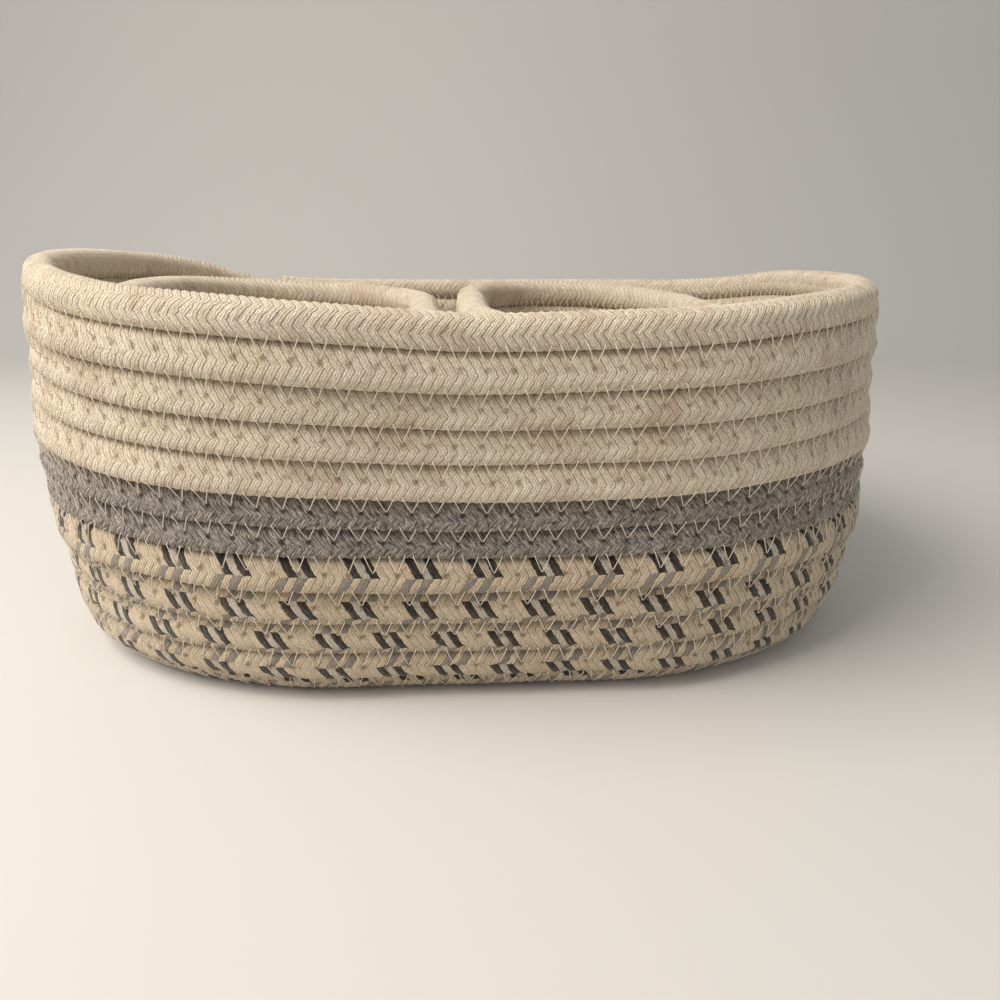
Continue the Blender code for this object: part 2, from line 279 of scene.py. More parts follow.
# How far the rope is twisted about itself, in degrees, after so many turns of the basket.
TWIST_TURNS = (0.4, 1.4, 2.4, 3.4, 4.4, 5.4, 6.4, 7.4, 9.4, 11.24, 11.31, 11.9)
TWISTS = (-60, -45, -30, -27, 8, -8, -8, 2, -6, 8, 56, 56)
END_RINGS = 8
# The rope wanders out of line and swells, in waves of random lengths.
SWAY = 0.00015
SWAY_LENGTHS = (0.03, 0.16)
SWELL = 0.00175
SWELL_LENGTHS = (0.012, 0.06)
WAVES = 5
WAVE_PHASES = (0, 6)
# Marks the rim in the stitches' UV map, since no thread is sewn over it.
UNSEWN = 9


def rolled_sheet(name, places, **labels):
    """A tube with closed ends, from a sheet whose points are moved to their places, in rings of sides.

    labels gives UV maps by name, each with a pair of values for every ring and side, and one more side.
    """
    rings, sides = places.shape[0] - 1, places.shape[1]
    sheet = bmesh.new()
    bmesh.ops.create_grid(sheet, x_segments=rings, y_segments=sides, size=0.5)
    mesh = bpy.data.meshes.new(name)
    sheet.to_mesh(mesh)
    flat = np.empty(len(mesh.vertices) * 3)
    mesh.vertices.foreach_get("co", flat)
    flat = flat.reshape(-1, 3)
    ring = np.rint((flat[:, 0] + 0.5) * rings).astype(int)
    side = np.rint((flat[:, 1] + 0.5) * sides).astype(int)
    mesh.vertices.foreach_set("co", places[ring, side % sides].ravel())
    corners = np.empty(len(mesh.loops), int)
    mesh.loops.foreach_get("vertex_index", corners)
    for label, values in labels.items():
        mesh.uv_layers.new(name=label).data.foreach_set("uv", values[ring[corners], side[corners]].ravel())
    sheet.clear()
    sheet.from_mesh(mesh)
    edges = [vertex for vertex in sheet.verts if vertex.is_boundary]
    bmesh.ops.remove_doubles(sheet, verts=edges, dist=1e-7)
    bmesh.ops.holes_fill(sheet, edges=[edge for edge in sheet.edges if edge.is_boundary], sides=sides)
    bmesh.ops.recalc_face_normals(sheet, faces=sheet.faces)
    for face in sheet.faces:
        face.smooth = len(face.verts) == 4
    sheet.to_mesh(mesh)
    sheet.free()
    piece = bpy.data.objects.new(name, mesh)
    bpy.context.scene.collection.objects.link(piece)
    return piece


def section(coil, turns):
    """How far the rope overhangs the row beneath, and its share of the rim, which is round above."""
    return OVERHANG * np.clip(turns - 1, 0, 1), np.clip((turns - coil.last) / coil.climb + 0.5, 0, 1)


def on_rope(found, angle, proud=0.0):
    """Points on a rope's surface, at angles from its outer face up towards the next row.

    The outer face is squarer below, where it overhangs the row beneath, and drawn in above. The rows are
    pressed together by the sewing, so that they close the seams.
    """
    centre, out, up, depth, height, hang, rim = found
    cos, sin = np.cos(angle), np.sin(angle)
    outer = (1 + cos) / 2
    rim = rim * (sin > 0)
    hang = hang * (1 - rim)
    even = ROPE_SQUARENESS + (RIM_SQUARENESS - ROPE_SQUARENESS) * rim
    facing = np.where(sin < 0, LOWER_SQUARENESS, OUTER_SQUARENESS)
    squareness = even + (facing - even) * outer * np.clip(hang / OVERHANG, 0, 1)
    size = (np.abs(cos) ** squareness + np.abs(sin) ** squareness) ** (-1 / squareness)
    across = (depth + proud) * cos * size - hang * sin * outer
    firm = sin**PRESSED_POWER * (1 - rim)
    above = (height + proud * (1 - firm) + PRESSED * firm) * sin * size
    return centre + across[..., None] * out + above[..., None] * up


def pits(coil, length, angle, turns):
    """How deep the thread pulls the rope in, near the stitches above and below, on both of its faces."""
    beside = coil.length_at(turns - 1)
    deep = np.zeros(length.shape)
    for at, tip in ((length / STITCH_PITCH, LOW_TIP), (beside / STITCH_PITCH - 0.5, HIGH_TIP)):
        off = (at - np.rint(at)) * STITCH_PITCH
        for face in (tip, math.pi - tip):
            turn = np.angle(np.exp(1j * (angle - face))) * coil.thickness / 2
            deep += np.exp(-(off**2 + turn**2) / (2 * (PIT_WIDTH / 2) ** 2))
    return deep


def waves(chance, length, lengths):
    """The sum of a few waves along a rope, whose own lengths are drawn by chance between two limits."""
    drawn = [(chance.uniform(*lengths), chance.uniform(*WAVE_PHASES)) for _ in range(WAVES)]
    return sum(np.sin(length * 2 * math.pi / wave + phase) for wave, phase in drawn)


def braid(name, coil, start, end, seed, marks=()):
    """The braided cover of a rope, between two counts of turns of its coil.

    marks gives pairs of a count of turns and the strand's number there, where a pattern has to fall in place.
    """
    begin, finish = coil.length_at(start), coil.length_at(end)
    rings = round((finish - begin) / STRAND_PITCH * RINGS_PER_STRAND)
    if marks:
        at, number = coil.length_at(np.array(marks)[:, 0]), np.array(marks)[:, 1]
        first = number[0] - (at[0] - begin) / STRAND_PITCH
        last = number[-1] + (finish - at[-1]) / STRAND_PITCH
        rings = math.floor((last - first) * RINGS_PER_STRAND)
        at, number = np.concatenate(([begin], at, [finish])), np.concatenate(([first], number, [last]))
    else:
        at, number = (begin, finish), (0, rings / RINGS_PER_STRAND)
    ring = np.arange(rings + 1)[:, None]
    side = np.arange(COLUMNS * ACROSS_COLUMN + 1)[None, :]
    column = side / ACROSS_COLUMN
    # The strands lean one way in even columns and the other way in odd ones, but not at the rope's cut ends.
    near_end = np.minimum(ring, rings - ring) / END_RINGS
    lean = STRAND_LEAN * (1 - np.abs(np.mod(column, 2) - 1)) * np.minimum(near_end, 1)
    strand = number[0] + ring / RINGS_PER_STRAND
    length = np.interp(strand - lean, number, at)
    turns = np.interp(length, coil.length, coil.turns)
    angle = column * 2 * math.pi / COLUMNS + np.radians(np.interp(turns, TWIST_TURNS, TWISTS))
    found = list(coil.along(length) + section(coil, turns))
    chance = np.random.default_rng(seed)
    sway = waves(chance, length, SWAY_LENGTHS)
    swell = waves(chance, length, SWELL_LENGTHS)
    found[0] += found[1] * (sway * SWAY)[..., None]
    between = np.mod(ring, RINGS_PER_STRAND) == 0
    inside = -STRAND_RELIEF * between - COLUMN_RELIEF * (side % ACROSS_COLUMN == 0)
    proud = inside - PIT_DEPTH * pits(coil, length, angle, turns) + SWELL * swell * coil.thickness
    places = on_rope(found, angle, proud)[:, :-1]
    labels = np.stack(np.broadcast_arrays(strand, column), -1)
    stitches = np.stack((length / STITCH_PITCH, np.sin(angle) + UNSEWN * (turns > coil.last)), -1)
    return rolled_sheet(name, places, braid=labels, stitch=stitches)


# The cotton of every rope: carded cotton, matt, with a soft fuzz of fibres that catches light at grazing
# angles. Each strand of the braid is three yarns side by side, and each yarn is twisted from fibres. Real
# fibres are 0.02 mm thick, too fine to show, so they are drawn as streaks 0.3 mm apart.
ROUGHNESS = 0.92
SPECULAR = 0.25
SHEEN = 0.3
SHEEN_ROUGHNESS = 0.6
SHEEN_TINT = "FFF8EC"
YARNS = 3
YARN_BUMP = 0.00018
FIBRES_PER_STRAND = 9
FIBRES_PER_COLUMN = 1.6
FUZZ_SIZE = 0.00055
# The strands' edges wander by this share of a strand, over this size.
EDGE_WANDER = 0.08
EDGE_SIZE = 0.0012
# Patches of this size have their yarns hidden by fuzz.
COVER_SIZE = 0.004
# How dark the painted shade is in the creases between the strands.
STRAND_SHADE_LEVEL = 0.64
# The painted shade in the hole under each stitch: its size and place, in shares of a stitch along the rope
# and of half its height.
HOLE_WIDTH = 0.15
HOLE_HEIGHT = 0.22
HOLE_PLACE = math.sin(LOW_TIP) - 0.12


def linear(text, alpha=1.0):
    """An sRGB hex value as a linear colour."""
    values = [int(text[index : index + 2], 16) / 255 for index in (0, 2, 4)]
    return tuple(v / 12.92 if v <= 0.04045 else ((v + 0.055) / 1.055) ** 2.4 for v in values) + (alpha,)


def add(tree, kind, sockets, stops=(), **settings):
    """Adds a node. sockets maps its inputs, by name or number, to values or to other nodes' outputs.

    stops gives a colour ramp's places and sRGB hex values.
    """
    made = tree.nodes.new(kind)
    for name, value in settings.items():
        setattr(made, name, value)
    for key, value in sockets.items():
        if isinstance(value, bpy.types.NodeSocket):
            tree.links.new(value, made.inputs[key])
        else:
            made.inputs[key].default_value = value
    for index, (place, colour) in enumerate(stops):
        if index == len(made.color_ramp.elements):
            made.color_ramp.elements.new(place)
        made.color_ramp.elements[index].position = place
        made.color_ramp.elements[index].color = linear(colour)
    return made


def cotton(name):
    """A new matt cotton material: its tree and shader, and the braid's numbers of strand and column."""
    material = bpy.data.materials.new(name)
    material.use_nodes = True
    tree = material.node_tree
    shader = tree.nodes["Principled BSDF"]
    shader.inputs["Roughness"].default_value = ROUGHNESS
    shader.inputs["Specular IOR Level"].default_value = SPECULAR
    shader.inputs["Sheen Weight"].default_value = SHEEN
    shader.inputs["Sheen Roughness"].default_value = SHEEN_ROUGHNESS
    shader.inputs["Sheen Tint"].default_value = linear(SHEEN_TINT)
    label = add(tree, "ShaderNodeUVMap", {}, uv_map="braid")
    parts = add(tree, "ShaderNodeSeparateXYZ", {0: label.outputs[0]})
    # The strands' edges wander a little, as soft yarn does.
    place = add(tree, "ShaderNodeTexCoord", {})
    noise = add(
        tree, "ShaderNodeTexNoise", {"Vector": place.outputs["Object"], "Scale": 1 / EDGE_SIZE, "Detail": 2.0}
    )
    off = add(
        tree, "ShaderNodeMapRange",
        {"Value": noise.outputs[0], 1: 0.3, 2: 0.7, 3: -EDGE_WANDER, 4: EDGE_WANDER}
    )
    strand = add(tree, "ShaderNodeMath", {0: parts.outputs[0], 1: off.outputs[0]}, operation="ADD")
    return material, tree, shader, strand.outputs[0], parts.outputs[1]


def yarn_finish(
    tree, shader, strand, column, colour, fibre_shade=0.16, yarn_shade_level=0.72, shade_warmth=0.45, hole_shade=0.62
):
    """Adds the yarns, fibres, fuzz and stitch holes to a braid's colour, with painted shade in the creases
    between yarns and strands and in the holes, and lifts the yarns in its bump.
    """
    place = add(tree, "ShaderNodeTexCoord", {})
    fuzz = add(
        tree, "ShaderNodeTexNoise", {"Vector": place.outputs["Object"], "Scale": 1 / FUZZ_SIZE, "Detail": 3.0}
    )
    yarn = add(tree, "ShaderNodeMath", {0: strand, 1: YARNS * math.pi}, operation="MULTIPLY")
    wave = add(tree, "ShaderNodeMath", {0: yarn.outputs[0]}, operation="SINE")
    round_yarn = add(tree, "ShaderNodeMath", {0: wave.outputs[0]}, operation="ABSOLUTE")
    half_strand = add(tree, "ShaderNodeMath", {0: strand, 1: math.pi}, operation="MULTIPLY")
    strand_wave = add(tree, "ShaderNodeMath", {0: half_strand.outputs[0]}, operation="SINE")
    round_strand = add(tree, "ShaderNodeMath", {0: strand_wave.outputs[0]}, operation="ABSOLUTE")
    across = add(tree, "ShaderNodeMath", {0: strand, 1: FIBRES_PER_STRAND}, operation="MULTIPLY")
    along = add(tree, "ShaderNodeMath", {0: column, 1: FIBRES_PER_COLUMN}, operation="MULTIPLY")
    spread = add(tree, "ShaderNodeCombineXYZ", {0: across.outputs[0], 1: along.outputs[0]})
    fibres = add(
        tree, "ShaderNodeTexNoise",
        {"Vector": spread.outputs[0], "Scale": 1.0, "Detail": 3.0, "Roughness": 0.65}
    )
    shade = add(
        tree, "ShaderNodeMapRange",
        {"Value": fibres.outputs[0], 1: 0.25, 2: 0.75, 3: 1 - fibre_shade, 4: 1 + fibre_shade}
    )
    fuzz_shade = add(tree, "ShaderNodeMapRange", {"Value": fuzz.outputs[0], 1: 0.3, 2: 0.7, 3: 0.82, 4: 1.20})
    # Each strand is a little paler or darker than the next.
    which = add(tree, "ShaderNodeMath", {0: strand}, operation="FLOOR")
    where = add(tree, "ShaderNodeMath", {0: column}, operation="FLOOR")
    one = add(tree, "ShaderNodeCombineXYZ", {0: which.outputs[0], 1: where.outputs[0]})
    chance = add(tree, "ShaderNodeTexWhiteNoise", {"Vector": one.outputs[0]}, noise_dimensions="2D")
    own = add(tree, "ShaderNodeMapRange", {"Value": chance.outputs[0], 3: 0.93, 4: 1.05})
    # Painted shade in the creases between the yarns. It fades here and there, where fuzz lies over them.
    painted_yarn_shade = add(
        tree, "ShaderNodeMapRange",
        {"Value": round_yarn.outputs[0], 1: 0.0, 2: 0.75, 3: yarn_shade_level, 4: 1.08}
    )
    hidden = add(
        tree, "ShaderNodeTexNoise",
        {"Vector": place.outputs["Object"], "Scale": 1 / COVER_SIZE, "Detail": 3.0}
    )
    shown = add(tree, "ShaderNodeMapRange", {"Value": hidden.outputs[0], 1: 0.38, 2: 0.62, 3: 0.25, 4: 1.0})
    painted_yarn_shade = add(tree, "ShaderNodeMix", {0: shown.outputs[0], 2: 1.0, 3: painted_yarn_shade.outputs[0]})
    # Painted shade in the creases between the strands.
    painted_strand_shade = add(
        tree, "ShaderNodeMapRange",
        {"Value": round_strand.outputs[0], 1: 0.0, 2: 0.32, 3: STRAND_SHADE_LEVEL, 4: 1.0}
    )
    # Painted shade in the hole under each stitch, on both faces, by the stitch's place along the rope and up
    # its side.
    stitch = add(tree, "ShaderNodeUVMap", {}, uv_map="stitch")
    spot = add(tree, "ShaderNodeSeparateXYZ", {0: stitch.outputs[0]})
    phase = add(tree, "ShaderNodeMath", {0: spot.outputs[0], 1: 0.5}, operation="ADD")
    phase = add(tree, "ShaderNodeMath", {0: phase.outputs[0]}, operation="FRACT")
    phase = add(tree, "ShaderNodeMath", {0: phase.outputs[0], 1: 0.5}, operation="SUBTRACT")
    beside = add(tree, "ShaderNodeMath", {0: phase.outputs[0], 1: 1 / HOLE_WIDTH}, operation="MULTIPLY")
    above = add(tree, "ShaderNodeMath", {0: spot.outputs[1], 1: HOLE_PLACE}, operation="SUBTRACT")
    above = add(tree, "ShaderNodeMath", {0: above.outputs[0], 1: 1 / HOLE_HEIGHT}, operation="MULTIPLY")
    from_hole = add(tree, "ShaderNodeCombineXYZ", {0: beside.outputs[0], 1: above.outputs[0]})
    away = add(tree, "ShaderNodeVectorMath", {0: from_hole.outputs[0]}, operation="LENGTH")
    away = add(
        tree, "ShaderNodeMath", {0: fuzz.outputs[0], 1: 0.8, 2: away.outputs["Value"]},
        operation="MULTIPLY_ADD"
    )
    hole = add(
        tree, "ShaderNodeMapRange", {"Value": away.outputs[0], 1: 0.6, 2: 1.5, 3: hole_shade, 4: 1.0},
        interpolation_type="SMOOTHSTEP"
    )
    # The painted shade in the creases and holes, times the random tones of fibres, fuzz and strands.
    dark = painted_yarn_shade.outputs[0]
    for factor in (painted_strand_shade, shade, fuzz_shade, own, hole):
        dark = add(tree, "ShaderNodeMath", {0: dark, 1: factor.outputs[0]}, operation="MULTIPLY").outputs[0]
    # The painted shade between the yarns is warmer too, since the light there has met more cotton.
    less_green = add(tree, "ShaderNodeMath", {0: dark, 1: 1 + shade_warmth * 0.4}, operation="POWER")
    less_blue = add(tree, "ShaderNodeMath", {0: dark, 1: 1 + shade_warmth}, operation="POWER")
    shadow = add(tree, "ShaderNodeCombineColor", {0: dark, 1: less_green.outputs[0], 2: less_blue.outputs[0]})
    tinted = add(
        tree, "ShaderNodeMix", {0: 1.0, 6: colour, 7: shadow.outputs[0]}, data_type="RGBA",
        blend_type="MULTIPLY"
    )
    tree.links.new(tinted.outputs[2], shader.inputs["Base Color"])
    # The bump: yarns, fibres, strands and fuzz stand up from the rope, and the holes lie in it.
    height = add(tree, "ShaderNodeMath", {0: round_yarn.outputs[0], 1: fibres.outputs[0]}, operation="ADD")
    for factor, amount in ((round_strand, 1.5), (fuzz, 1.6), (hole, 2.0)):
        height = add(
            tree, "ShaderNodeMath", {0: factor.outputs[0], 1: amount, 2: height.outputs[0]},
            operation="MULTIPLY_ADD"
        )
    lifted = add(tree, "ShaderNodeBump", {"Height": height.outputs[0], "Distance": YARN_BUMP})
    tree.links.new(lifted.outputs[0], shader.inputs["Normal"])


# The pattern's dyed strands, by their number in each repeat, and how much of them stray fibres hide.
PATTERN_STRANDS = 7
DYED_DARK = "1F1915"
DYED_PALE = "C4B8A9"
DYED_MIDDLE = "928980"
PATTERN_CREAM = "D1BEA4"
STRAY_COVER = 0.26


def patterned_cotton(name):
    """Cotton with dyed strands, told apart by their number along the rope and their column round it."""
    material, tree, shader, strand, column = cotton(name)
    whole = add(tree, "ShaderNodeMath", {0: strand}, operation="FLOOR")
    which = add(tree, "ShaderNodeMath", {0: column}, operation="FLOOR")
    # The repeat starts further on in each column, in whole strands.
    shift = add(
        tree, "ShaderNodeMath", {0: which.outputs[0], 1: PATTERN_STRANDS / COLUMNS, 2: 0.5},
        operation="MULTIPLY_ADD"
    )
    shift = add(tree, "ShaderNodeMath", {0: shift.outputs[0]}, operation="FLOOR")
    odd = add(tree, "ShaderNodeMath", {0: which.outputs[0], 1: 2.0}, operation="FLOORED_MODULO")
    first, second, third = (count / PATTERN_STRANDS for count in (1, 2, 3))
    layers = []
    for operation, stops in (
        ("ADD", ((0, DYED_DARK), (first, DYED_PALE), (second, DYED_DARK), (third, PATTERN_CREAM))),
        ("SUBTRACT", (
            (0, DYED_MIDDLE), (first, PATTERN_CREAM), (second, DYED_MIDDLE), (third, PATTERN_CREAM)
        )),
    ):
        moved = add(tree, "ShaderNodeMath", {0: whole.outputs[0], 1: shift.outputs[0]}, operation=operation)
        moved = add(tree, "ShaderNodeMath", {0: moved.outputs[0], 1: 0.5}, operation="ADD")
        turn = add(
            tree, "ShaderNodeMath", {0: moved.outputs[0], 1: float(PATTERN_STRANDS)},
            operation="FLOORED_MODULO"
        )
        part = add(
            tree, "ShaderNodeMath", {0: turn.outputs[0], 1: float(PATTERN_STRANDS)}, operation="DIVIDE"
        )
        layer = add(tree, "ShaderNodeValToRGB", {0: part.outputs[0]}, stops)
        layer.color_ramp.interpolation = "CONSTANT"
        layers.append(layer.outputs[0])
    colour = add(tree, "ShaderNodeMix", {0: odd.outputs[0], 6: layers[0], 7: layers[1]}, data_type="RGBA")
    # Stray cream fibres lie over the dyed yarns.
    across = add(tree, "ShaderNodeMath", {0: strand, 1: FIBRES_PER_STRAND}, operation="MULTIPLY")
    along = add(tree, "ShaderNodeMath", {0: column, 1: FIBRES_PER_COLUMN * 2}, operation="MULTIPLY")
    spread = add(tree, "ShaderNodeCombineXYZ", {0: across.outputs[0], 1: along.outputs[0], 2: 7.0})
    strays = add(
        tree, "ShaderNodeTexNoise",
        {"Vector": spread.outputs[0], "Scale": 0.8, "Detail": 3.0, "Roughness": 0.7}
    )
    cover = add(
        tree, "ShaderNodeMapRange", {"Value": strays.outputs[0], 1: 0.5, 2: 0.72, 3: 0.0, 4: STRAY_COVER}
    )
    colour = add(
        tree, "ShaderNodeMix", {0: cover.outputs[0], 6: colour.outputs[2], 7: linear(PATTERN_CREAM)},
        data_type="RGBA"
    )
    # Its painted shade in the yarn creases and in the stitch holes is darker.
    yarn_finish(tree, shader, strand, column, colour.outputs[2], yarn_shade_level=0.6, hole_shade=0.5)
    return material


def finished(piece, material, body, slot, *nodes):
    """Gives a piece its material and its body, and hides the CAD nodes that it stands for. slot, its colour
    slot, is not used.
    """
    piece.data.materials.append(material)
    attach(piece, body)
    if nodes:
        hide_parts(*nodes)


# Where the middle of a dark pair falls on the wall, in turns from the middle of the back, and which repeat of
# the pattern it is.
PAIR_TURNS = (1.4249, 1.5556, 2.4017, 2.6226, 3.3903, 3.6143, 4.392, 4.6153)
PAIR_REPEATS = (57, 63, 102, 112, 148, 158, 195, 205)
PAIR_MIDDLE = 0.8
climbs_at = LARGE_CLIMB_PAST / large.around
pair_marks = [
    (turns - climbs_at, PATTERN_STRANDS * repeat + PAIR_MIDDLE)
    for turns, repeat in zip(PAIR_TURNS, PAIR_REPEATS)
]
# Where the base's rope ends and the wall's goes on, in turns past the foot of the wall.
LARGE_BASE_END = 0.095
LARGE_WALL_START = 0.0955

patterned = patterned_cotton("braided_cotton_patterned")
base_coil = braid("patterned_base_coil", large, -large.base_rows, LARGE_BASE_END, 1)
finished(base_coil, patterned, "large_basket", "patterned_rope", "large_base")
lower_wall = braid("patterned_wall_rope", large, LARGE_WALL_START, PATTERNED_END, 2, pair_marks)
finished(lower_wall, patterned, "large_basket", "patterned_rope", "large_patterned_rope")


# Large basket, grey rope. Two rows of braided cotton that was dyed as loose fibre, so that light and dark
# grey mix in each yarn. It meets the patterned rope end to end, and is sewn on in the same way.
GREY_DARK = "3B3631"
GREY_LIGHT = "BEB4A9"
# The gap between the cut ends of two ropes that meet, in turns.
ROPE_JOIN = 0.0003


def grey_cotton(name):
    """Cotton of mixed light and dark grey fibres."""
    material, tree, shader, strand, column = cotton(name)
    across = add(tree, "ShaderNodeMath", {0: strand, 1: float(YARNS)}, operation="MULTIPLY")
    along = add(tree, "ShaderNodeMath", {0: column, 1: 2.0}, operation="MULTIPLY")
    spread = add(tree, "ShaderNodeCombineXYZ", {0: across.outputs[0], 1: along.outputs[0]})
    mix = add(
        tree, "ShaderNodeTexNoise",
        {"Vector": spread.outputs[0], "Scale": 1.0, "Detail": 3.0, "Roughness": 0.75}
    )
    colour = add(tree, "ShaderNodeValToRGB", {0: mix.outputs[0]}, ((0.36, GREY_DARK), (0.64, GREY_LIGHT)))
    # Its painted shade in the yarn creases is darker and less warm, and in the stitch holes much darker.
    yarn_finish(
        tree, shader, strand, column, colour.outputs[0], fibre_shade=0.25, yarn_shade_level=0.5, shade_warmth=0.2,
        hole_shade=0.12
    )
    return material


grey = grey_cotton("braided_cotton_grey_melange")
grey_rows = braid("grey_wall_rope", large, PATTERNED_END + ROPE_JOIN, GREY_END, 3)
finished(grey_rows, grey, "large_basket", "grey_rope", "large_grey_rope")


# Large basket, cream rope: four rows of undyed braided cotton and the rim, which stands free above the last
# seam. Its end thins out on the rim at the back left, over the row that climbs under it.
PATCH_SIZE = 0.022
CREAM_LIGHT = "DFD0BB"
CREAM_DEEP = "C9B49C"
CREAM_STAIN = "D9CAAC"


def cream_cotton(name):
    """Undyed braided cotton: a warm cream, with paler and yellower stretches."""
    material, tree, shader, strand, column = cotton(name)
    place = add(tree, "ShaderNodeTexCoord", {})
    patches = add(
        tree, "ShaderNodeTexNoise",
        {"Vector": place.outputs["Object"], "Scale": 1 / PATCH_SIZE, "Detail": 4.0, "Roughness": 0.65}
    )
    stops = ((0.3, CREAM_DEEP), (0.5, CREAM_LIGHT), (0.75, CREAM_STAIN))
    colour = add(tree, "ShaderNodeValToRGB", {0: patches.outputs[0]}, stops)
    yarn_finish(tree, shader, strand, column, colour.outputs[0])
    return material


cream = cream_cotton("braided_cotton_cream")
upper_wall = braid("cream_wall_rope", large, GREY_END + ROPE_JOIN, large.end, 4)
finished(upper_wall, cream, "large_basket", "cream_rope", "large_cream_rope")


# The sewing thread, off-white cotton. It shows over each seam as a V every 7.6 mm, on both faces of the wall:
# its point is in the rope below, where it pulls a small pit, and its two ends dive into the rope above.
THREAD = 0.00033
THREAD_SIDES = 5
THREAD_COLOUR = "DCD0BE"
THREAD_ROUGHNESS = 0.7
THREAD_SHEEN = 0.2
# The places of a stitch's point and two ends, in stitches. Each leg is drawn through five places, by their
# share of the way and how far they stand out of the rope. The run between two stitches is buried in it.
TIPS = (0.0, 0.33, 0.67)
LEG_SHARES = (0.0, 0.05, 0.35, 0.65, 0.95)
LEG_PROUD = (-0.0008, 0.0001, 0.0002, 0.0002, 0.0)
BURIED = -0.0016
# The base's thread starts this part of a turn from the middle, and meets the wall's at the foot of the wall.
LARGE_THREAD_START = 0.3
BASE_THREAD_END = 0.09
WALL_THREAD_START = 0.1


def sewing_thread(name):
    """Polished cotton thread, a little shinier than the rope."""
    material = bpy.data.materials.new(name)
    material.use_nodes = True
    shader = material.node_tree.nodes["Principled BSDF"]
    shader.inputs["Base Color"].default_value = linear(THREAD_COLOUR)
    shader.inputs["Roughness"].default_value = THREAD_ROUGHNESS
    shader.inputs["Sheen Weight"].default_value = THREAD_SHEEN
    return material


def stitching(name, coil, start, end, inside):
    """The thread over the seams above the rows between two counts of turns, on one face of the wall."""
    first = math.ceil(coil.length_at(start) / STITCH_PITCH)
    last = math.floor(coil.length_at(end) / STITCH_PITCH)
    # Each stitch comes down to one low tip, and runs hidden inside the rope above between two high ones.
    count = 3 * (last - first) + 1
    place = first + np.arange(count) // 3 + np.array(TIPS)[np.arange(count) % 3]
    turns = np.interp(place * STITCH_PITCH, coil.length, coil.turns)
    is_high = np.arange(count) % 3 > 0
    hidden = (np.arange(count - 1) % 3 == 1)[:, None]
    tip = np.where(is_high, HIGH_TIP, LOW_TIP)
    angle = np.where(inside, math.pi - tip, tip)
    found = coil.along(coil.length_at(turns + is_high)) + section(coil, turns + is_high)
    tips = on_rope(found, angle)
    outs = found[1] * (-1 if inside else 1)
    points, faces = [], []
    for share, proud in zip(LEG_SHARES, LEG_PROUD):
        facing = outs[:-1] * (1 - share) + outs[1:] * share
        points.append(tips[:-1] * (1 - share) + tips[1:] * share + facing * np.where(hidden, BURIED, proud))
        faces.append(facing)
    route = np.stack(points, 1).reshape(-1, 3)
    facing = np.stack(faces, 1).reshape(-1, 3)
    ahead = np.gradient(route, axis=0)
    ahead /= np.linalg.norm(ahead, axis=1)[:, None]
    side = np.cross(ahead, facing)
    side /= np.linalg.norm(side, axis=1)[:, None]
    facing = np.cross(side, ahead)
    angles = np.arange(THREAD_SIDES) * 2 * math.pi / THREAD_SIDES
    ring = facing[:, None] * np.cos(angles)[None, :, None] + side[:, None] * np.sin(angles)[None, :, None]
    return rolled_sheet(name, route[:, None] + ring * THREAD / 2)


FACES = (("outside", False), ("inside", True))
thread = sewing_thread("cotton_sewing_thread")
for face_name, is_inside in FACES:
    wall_thread = stitching(f"large_wall_thread_{face_name}", large, WALL_THREAD_START, large.last, is_inside)
    finished(wall_thread, thread, "large_basket", "cream_rope")
    thread_start = -large.base_rows + LARGE_THREAD_START
    base_thread = stitching(f"large_base_thread_{face_name}", large, thread_start, BASE_THREAD_END, is_inside)
    finished(base_thread, thread, "large_basket", "patterned_rope")


# The small baskets. Each is one cream rope from the middle of its base to its rim, with ten rows and the rim,
# sewn like the large one. They stand loose, side by side in it, and each lifts out on its own.
SMALL_ROWS = [0.0104] * 10 + [0.0121]
SMALL_HALF_XS = {"left": 0.0583, "right": 0.0535}
SMALL_HALF_Y = 0.0856
SMALL_CORNER = 0.0533
# The left one stands turned by this many degrees.
SMALL_HEADINGS = {"left": 2.5, "right": 0.0}
# The rims' lifts in millimetres, every 30 degrees from the back round by the left. The left basket is
# highest at its left, and the right one at its back.
SMALL_LIFTS = {
    "left": (2.0, 3.0, 4.8, 6.0, 4.0, 0.0, -4.0, -4.0, -3.0, -1.5, -0.5, 1.0),
    "right": (3.5, 3.5, 3.0, 1.5, -1.5, -4.0, -4.0, -4.0, -3.0, -1.5, 0.0, 2.5),
}
# The rows climb at the middle of the front, half the outline from the middle of the back.
SMALL_CLIMB_SHARE = 0.5
SMALL_CLIMB_REACH = 0.049
SMALL_BASE_END = 0.104
SMALL_WALL_START = 0.105
SMALL_THREAD_START = 0.4
# How far the rim's middle is inside the CAD rope's outer side, and a hair's gap above the large base.
RIM_DEPTH = 0.0070
SMALL_GAP = 0.0003

